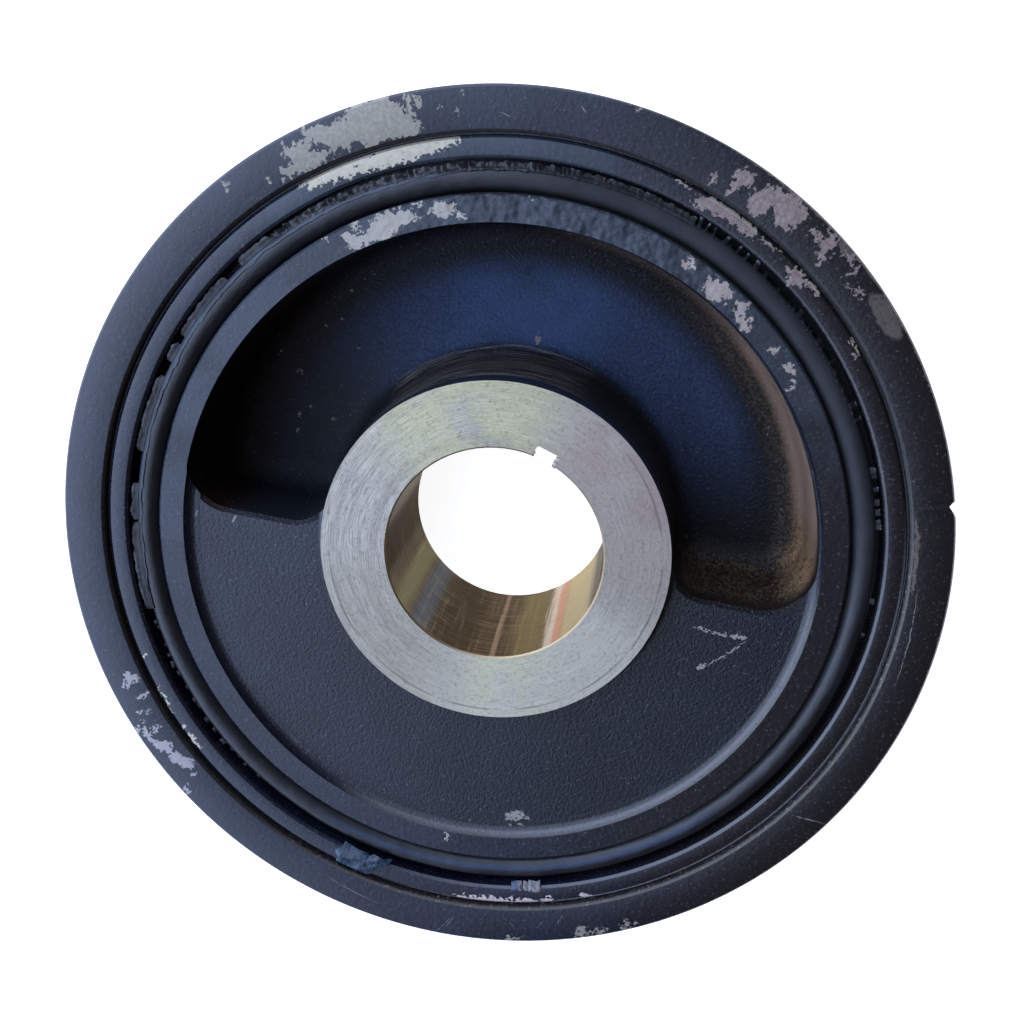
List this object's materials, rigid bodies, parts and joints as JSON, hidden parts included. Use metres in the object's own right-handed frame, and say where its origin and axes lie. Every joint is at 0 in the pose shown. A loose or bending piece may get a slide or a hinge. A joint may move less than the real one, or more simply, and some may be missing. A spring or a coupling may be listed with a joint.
{
  "type": "harmonic balancer",
  "caption": "Crankshaft harmonic balancer: a keyed iron hub with a half-moon cast pocket, a bonded rubber ring and a turned inertia ring.",
  "frame": {"origin": "on the crank axis, at the back end of the hub's boss", "axes": "+Z along the crank axis, out of the front; the keyway opens towards +Y"},
  "size_m": [0.18, 0.18, 0.038],
  "materials": {
    "hub_paint": "satin dark navy paint on grey iron",
    "rubber": "dull black moulded rubber",
    "ring_paint": "satin dark navy paint on grey iron"
  },
  "bodies": {
    "root": {"hub": "hub_paint", "rubber_ring": "rubber", "inertia_ring": "ring_paint"}
  },
  "joints": []
}
